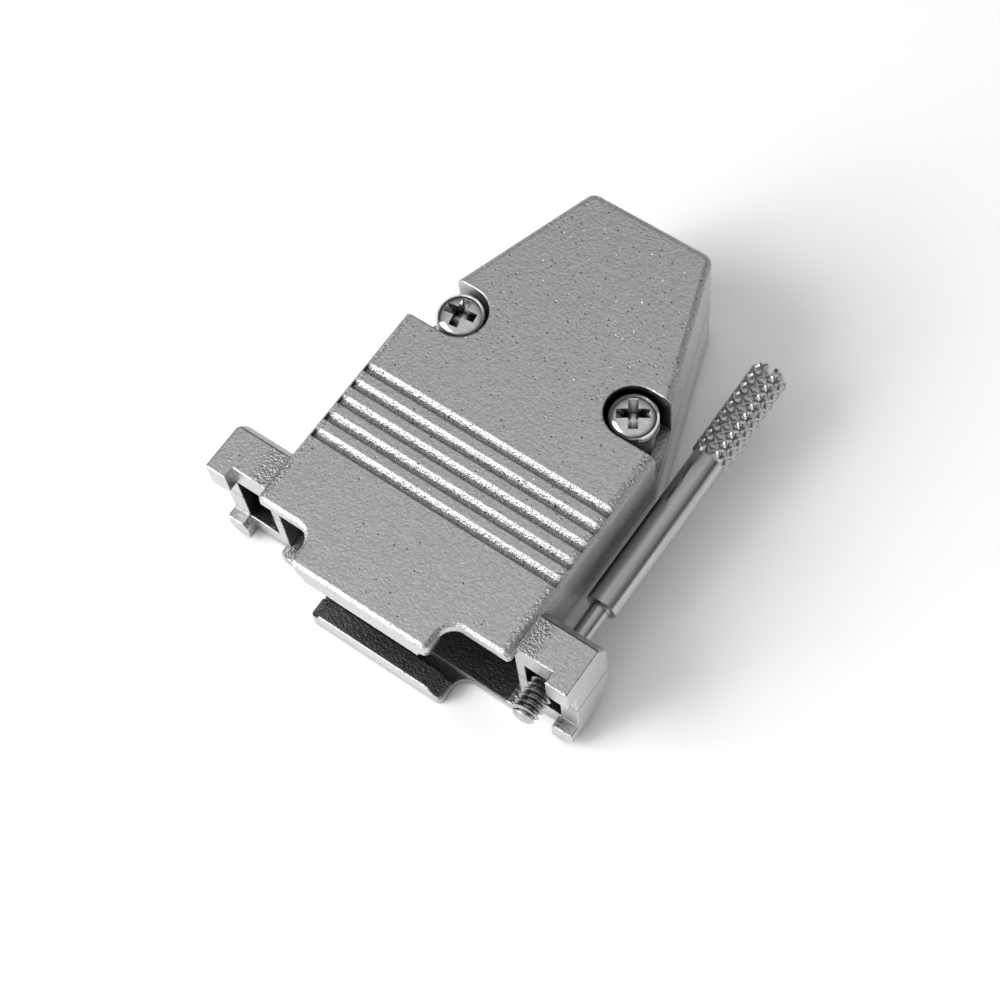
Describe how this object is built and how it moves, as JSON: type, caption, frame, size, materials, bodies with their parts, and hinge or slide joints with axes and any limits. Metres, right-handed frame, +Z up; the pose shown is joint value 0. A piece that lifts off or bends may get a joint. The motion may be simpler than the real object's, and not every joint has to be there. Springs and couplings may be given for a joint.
{
  "type": "d-sub connector hood",
  "caption": "Split metal hood for a D-sub cable connector, with screws, a cable clamp and a captive knurled thumbscrew.",
  "frame": {"origin": "middle of the footprint, on the flat underside that the hood rests on", "axes": "+Z up, +Y from the connector mouth to the cable outlet, +X to the side that has the thumbscrew"},
  "size_m": [0.0412, 0.0484, 0.015],
  "materials": {
    "plated_casting": "satin nickel over a blasted zinc casting",
    "nut_steel": "nickel-plated steel",
    "screw_steel": "bright nickel-plated steel",
    "clamp_steel": "zinc-plated sheet steel",
    "thumbscrew_steel": "turned and nickel-plated steel"
  },
  "bodies": {
    "hood": {"lower_shell": "plated_casting", "upper_shell": "plated_casting", "assembly_nut_left": "nut_steel", "assembly_nut_right": "nut_steel", "assembly_screw_left": "screw_steel", "assembly_screw_right": "screw_steel", "clamp_screw_left": "screw_steel", "clamp_screw_right": "screw_steel", "cable_clamp": "clamp_steel"},
    "thumbscrew": {"thumbscrew": "thumbscrew_steel"}
  },
  "joints": [
    {"name": "thumbscrew_slide", "type": "slide", "parent": "hood", "child": "thumbscrew", "axis": [0, -1, 0], "range_m": [-0.0016, 0.004]}
  ]
}
